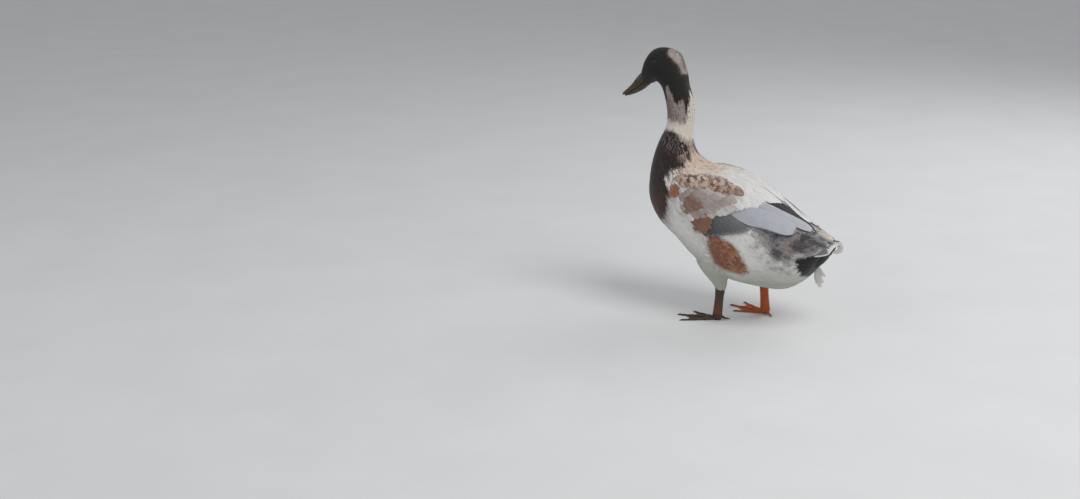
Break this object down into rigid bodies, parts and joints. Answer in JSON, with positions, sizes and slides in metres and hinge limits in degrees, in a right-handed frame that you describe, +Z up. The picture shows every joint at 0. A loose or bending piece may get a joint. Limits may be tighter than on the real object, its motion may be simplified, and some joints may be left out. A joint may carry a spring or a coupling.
{
  "type": "welsh harlequin duck",
  "caption": "Drake of the Welsh harlequin duck standing with its neck up and wings folded, at life size, for a still scene prop.",
  "frame": {"origin": "on the floor under the middle of the bird's bounding box", "axes": "+Z up, the bird faces -Y with its tail towards +Y, +X is the bird's left side"},
  "size_m": [0.1646, 0.4231, 0.471],
  "materials": {
    "head_feathers": "soft, slightly glossy dark feathers",
    "neck_feathers": "soft matte feathers",
    "body_feathers": "soft matte feathers",
    "wing_feathers": "satin vanes",
    "tail_feathers": "satin vanes",
    "bill_horn": "smooth satin skin",
    "leg_skin": "scaled satin skin",
    "eye": "wet gloss",
    "claw": "satin horn"
  },
  "bodies": {
    "root": {"head": "head_feathers", "neck": "neck_feathers", "torso": "body_feathers", "tail": "tail_feathers", "wing_left": "wing_feathers", "wing_right": "wing_feathers", "bill_upper": "bill_horn", "bill_lower": "bill_horn", "eye_left": "eye", "eye_right": "eye", "thigh_left": "body_feathers", "thigh_right": "body_feathers", "shank_left": "leg_skin", "shank_right": "leg_skin", "foot_left": "leg_skin", "foot_right": "leg_skin", "claw_inner_left": "claw", "claw_middle_left": "claw", "claw_outer_left": "claw", "claw_hind_left": "claw", "claw_inner_right": "claw", "claw_middle_right": "claw", "claw_outer_right": "claw", "claw_hind_right": "claw"}
  },
  "joints": []
}
